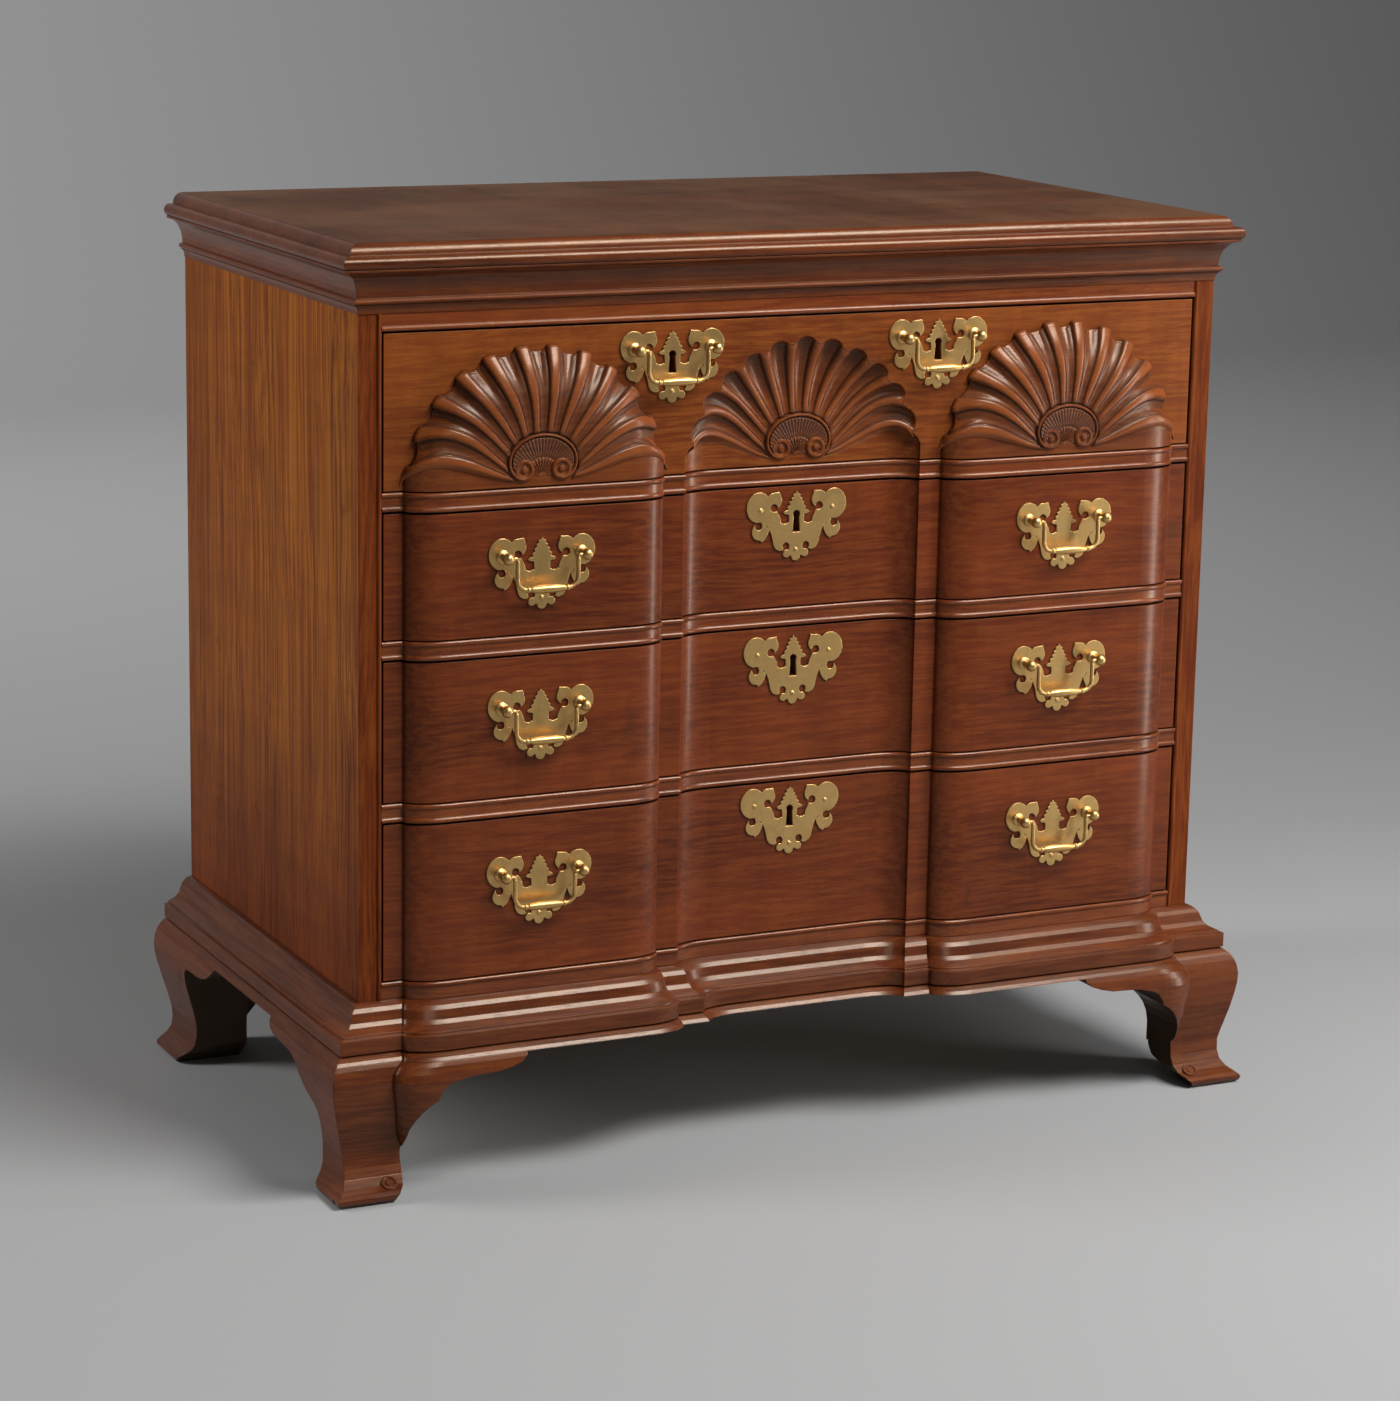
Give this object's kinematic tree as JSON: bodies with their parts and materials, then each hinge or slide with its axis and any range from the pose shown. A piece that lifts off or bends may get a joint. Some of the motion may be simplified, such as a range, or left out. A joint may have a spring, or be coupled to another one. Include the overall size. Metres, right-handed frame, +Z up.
{
  "type": "block front chest of drawers",
  "caption": "Block front chest of drawers with carved shells, brass bail pulls and ogee bracket feet, each drawer on wooden runners.",
  "frame": {"origin": "on the floor, under the centre of the chest's overall box", "axes": "+X to the chest's right across its front, +Y from the drawer fronts to the back, +Z up"},
  "size_m": [0.9764, 0.5362, 0.876],
  "materials": {
    "mahogany_front": "satin polish",
    "mahogany_side": "satin polish",
    "mahogany_top": "satin polish",
    "poplar": "dry, unpolished",
    "pine": "dry, unpolished",
    "brass": "antique, softly polished",
    "iron": "dull"
  },
  "bodies": {
    "case": {"top_board": "mahogany_top", "cornice_moulding": "mahogany_front", "side_left": "mahogany_side", "side_right": "mahogany_side", "case_bottom": "pine", "top_battens": "pine", "top_rail": "mahogany_front", "divider_1": "mahogany_front", "divider_2": "mahogany_front", "divider_3": "mahogany_front", "bottom_rail": "mahogany_front", "drawer_runners": "pine", "back_boards": "pine", "base_moulding": "mahogany_front", "foot_front_left": "mahogany_front", "foot_front_right": "mahogany_front", "foot_rear_left": "mahogany_front", "foot_rear_right": "mahogany_front"},
    "drawer_1": {"drawer_1_front": "mahogany_front", "drawer_1_shells": "mahogany_front", "drawer_1_box": "poplar", "drawer_1_bottom": "pine", "drawer_1_plates": "brass", "drawer_1_posts": "brass", "drawer_1_lock": "iron"},
    "bail_1_left": {"bail_1_left": "brass"},
    "bail_1_right": {"bail_1_right": "brass"},
    "lock_bolt_1_left": {"lock_bolt_1_left": "iron"},
    "lock_bolt_1_right": {"lock_bolt_1_right": "iron"},
    "drawer_2": {"drawer_2_front": "mahogany_front", "drawer_2_box": "poplar", "drawer_2_bottom": "pine", "drawer_2_plates": "brass", "drawer_2_posts": "brass", "drawer_2_lock": "iron"},
    "bail_2_left": {"bail_2_left": "brass"},
    "bail_2_right": {"bail_2_right": "brass"},
    "lock_bolt_2": {"lock_bolt_2": "iron"},
    "drawer_3": {"drawer_3_front": "mahogany_front", "drawer_3_box": "poplar", "drawer_3_bottom": "pine", "drawer_3_plates": "brass", "drawer_3_posts": "brass", "drawer_3_lock": "iron"},
    "bail_3_left": {"bail_3_left": "brass"},
    "bail_3_right": {"bail_3_right": "brass"},
    "lock_bolt_3": {"lock_bolt_3": "iron"},
    "drawer_4": {"drawer_4_front": "mahogany_front", "drawer_4_box": "poplar", "drawer_4_bottom": "pine", "drawer_4_plates": "brass", "drawer_4_posts": "brass", "drawer_4_lock": "iron"},
    "bail_4_left": {"bail_4_left": "brass"},
    "bail_4_right": {"bail_4_right": "brass"},
    "lock_bolt_4": {"lock_bolt_4": "iron"}
  },
  "joints": [
    {"name": "drawer_1_slide", "type": "slide", "parent": "case", "child": "drawer_1", "axis": [0, -1, 0], "range_m": [0, 0.34]},
    {"name": "bail_1_left_swing", "type": "hinge", "parent": "drawer_1", "child": "bail_1_left", "pos_m": [-0.1395, -0.2254, 0.7705], "axis": [-1, 0, 0], "range_deg": [0, 85]},
    {"name": "bail_1_right_swing", "type": "hinge", "parent": "drawer_1", "child": "bail_1_right", "pos_m": [0.1395, -0.2254, 0.7705], "axis": [-1, 0, 0], "range_deg": [0, 85]},
    {"name": "lock_bolt_1_left_throw", "type": "slide", "parent": "drawer_1", "child": "lock_bolt_1_left", "axis": [0, 0, 1], "range_m": [0, 0.008]},
    {"name": "lock_bolt_1_right_throw", "type": "slide", "parent": "drawer_1", "child": "lock_bolt_1_right", "axis": [0, 0, 1], "range_m": [0, 0.008]},
    {"name": "drawer_2_slide", "type": "slide", "parent": "case", "child": "drawer_2", "axis": [0, -1, 0], "range_m": [0, 0.34]},
    {"name": "bail_2_left_swing", "type": "hinge", "parent": "drawer_2", "child": "bail_2_left", "pos_m": [-0.2756, -0.2424, 0.5898], "axis": [-1, 0, 0], "range_deg": [0, 85]},
    {"name": "bail_2_right_swing", "type": "hinge", "parent": "drawer_2", "child": "bail_2_right", "pos_m": [0.2756, -0.2424, 0.5898], "axis": [-1, 0, 0], "range_deg": [0, 85]},
    {"name": "lock_bolt_2_throw", "type": "slide", "parent": "drawer_2", "child": "lock_bolt_2", "axis": [0, 0, 1], "range_m": [0, 0.008]},
    {"name": "drawer_3_slide", "type": "slide", "parent": "case", "child": "drawer_3", "axis": [0, -1, 0], "range_m": [0, 0.34]},
    {"name": "bail_3_left_swing", "type": "hinge", "parent": "drawer_3", "child": "bail_3_left", "pos_m": [-0.2756, -0.2424, 0.4485], "axis": [-1, 0, 0], "range_deg": [0, 85]},
    {"name": "bail_3_right_swing", "type": "hinge", "parent": "drawer_3", "child": "bail_3_right", "pos_m": [0.2756, -0.2424, 0.4485], "axis": [-1, 0, 0], "range_deg": [0, 85]},
    {"name": "lock_bolt_3_throw", "type": "slide", "parent": "drawer_3", "child": "lock_bolt_3", "axis": [0, 0, 1], "range_m": [0, 0.008]},
    {"name": "drawer_4_slide", "type": "slide", "parent": "case", "child": "drawer_4", "axis": [0, -1, 0], "range_m": [0, 0.34]},
    {"name": "bail_4_left_swing", "type": "hinge", "parent": "drawer_4", "child": "bail_4_left", "pos_m": [-0.2756, -0.2424, 0.2915], "axis": [-1, 0, 0], "range_deg": [0, 85]},
    {"name": "bail_4_right_swing", "type": "hinge", "parent": "drawer_4", "child": "bail_4_right", "pos_m": [0.2756, -0.2424, 0.2915], "axis": [-1, 0, 0], "range_deg": [0, 85]},
    {"name": "lock_bolt_4_throw", "type": "slide", "parent": "drawer_4", "child": "lock_bolt_4", "axis": [0, 0, 1], "range_m": [0, 0.008]}
  ]
}
